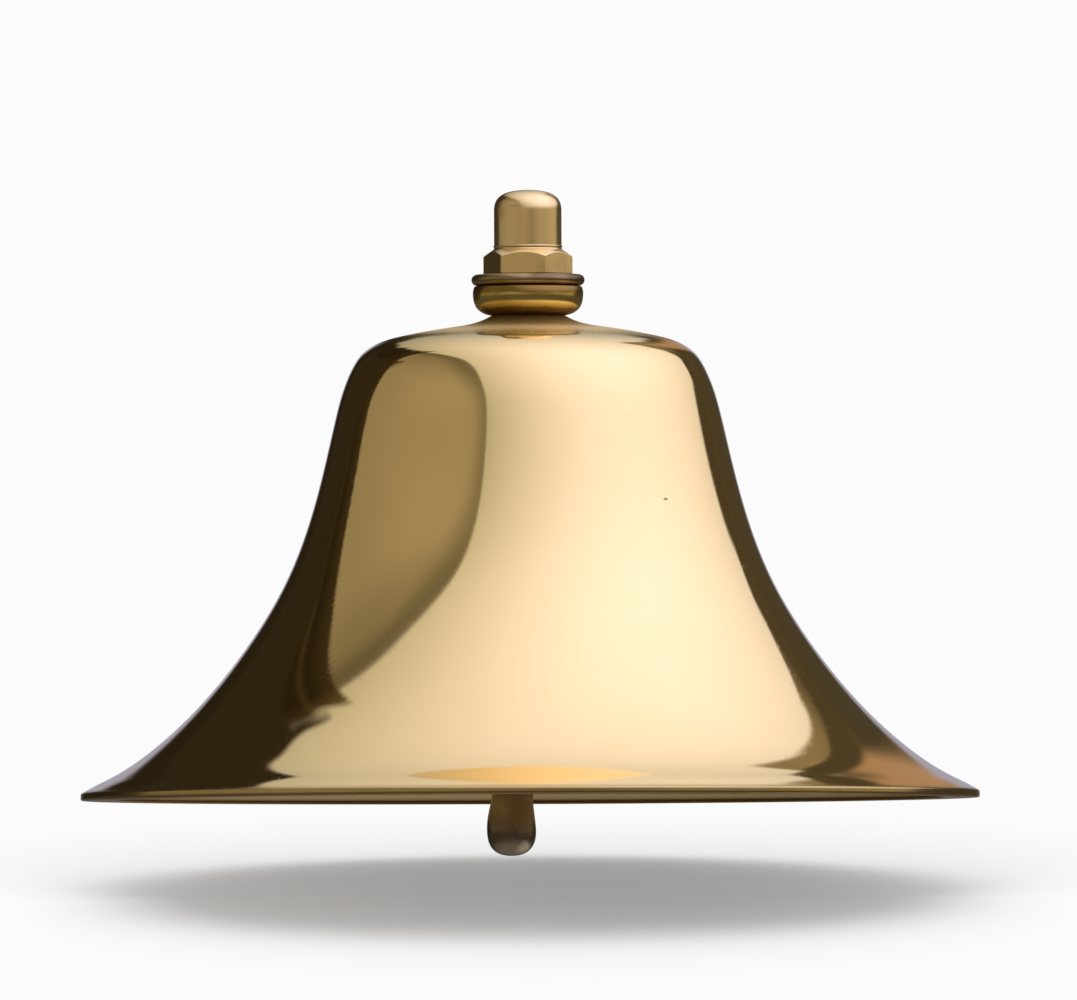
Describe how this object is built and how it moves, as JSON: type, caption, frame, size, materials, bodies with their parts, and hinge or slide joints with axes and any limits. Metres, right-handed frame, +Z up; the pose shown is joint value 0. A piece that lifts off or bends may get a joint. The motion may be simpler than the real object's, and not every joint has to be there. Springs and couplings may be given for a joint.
{
  "type": "ship bell",
  "caption": "Cast brass bell with a round shoulder and a wide flared lip, clamped by a domed nut on a stud through its crown, with a clapper that swings on a pin inside.",
  "frame": {"origin": "centre of the crown seat, which is the collar's top plane, on the bell's axis", "axes": "+Z up along the bell's axis, towards the domed nut; +Y along the clapper's pin, towards its split pin; the clapper swings towards -X and +X"},
  "size_m": [0.254, 0.254, 0.1882],
  "materials": {
    "polished_brass": "mirror polished",
    "collar_brass": "turned and polished, amber",
    "aged_brass": "tarnished",
    "nut_brass": "satin turned",
    "cast_bronze": "cast and machined",
    "bearing_bronze": "turned",
    "dark_bronze": "dark patina",
    "zinc_steel": "zinc plated, satin",
    "leather": "oiled, matt"
  },
  "bodies": {
    "bell": {"bell_body": "polished_brass", "crown_collar": "collar_brass", "crown_washer": "aged_brass", "cap_nut": "nut_brass", "hanger_stud": "zinc_steel", "crown_gasket": "leather", "inner_washer": "aged_brass", "spring_washer": "zinc_steel", "clevis": "cast_bronze", "lock_pin": "zinc_steel", "clevis_pin": "zinc_steel", "pin_washer": "zinc_steel", "split_pin": "zinc_steel", "thrust_washer_front": "bearing_bronze", "thrust_washer_back": "bearing_bronze"},
    "clapper": {"clapper_rod": "dark_bronze", "clapper_bush": "bearing_bronze", "clapper_ball": "dark_bronze", "clapper_tail": "dark_bronze"}
  },
  "joints": [
    {"name": "clapper_swing", "type": "hinge", "parent": "bell", "child": "clapper", "pos_m": [0, 0, -0.048], "axis": [0, 1, 0], "range_deg": [-44, 38]}
  ]
}
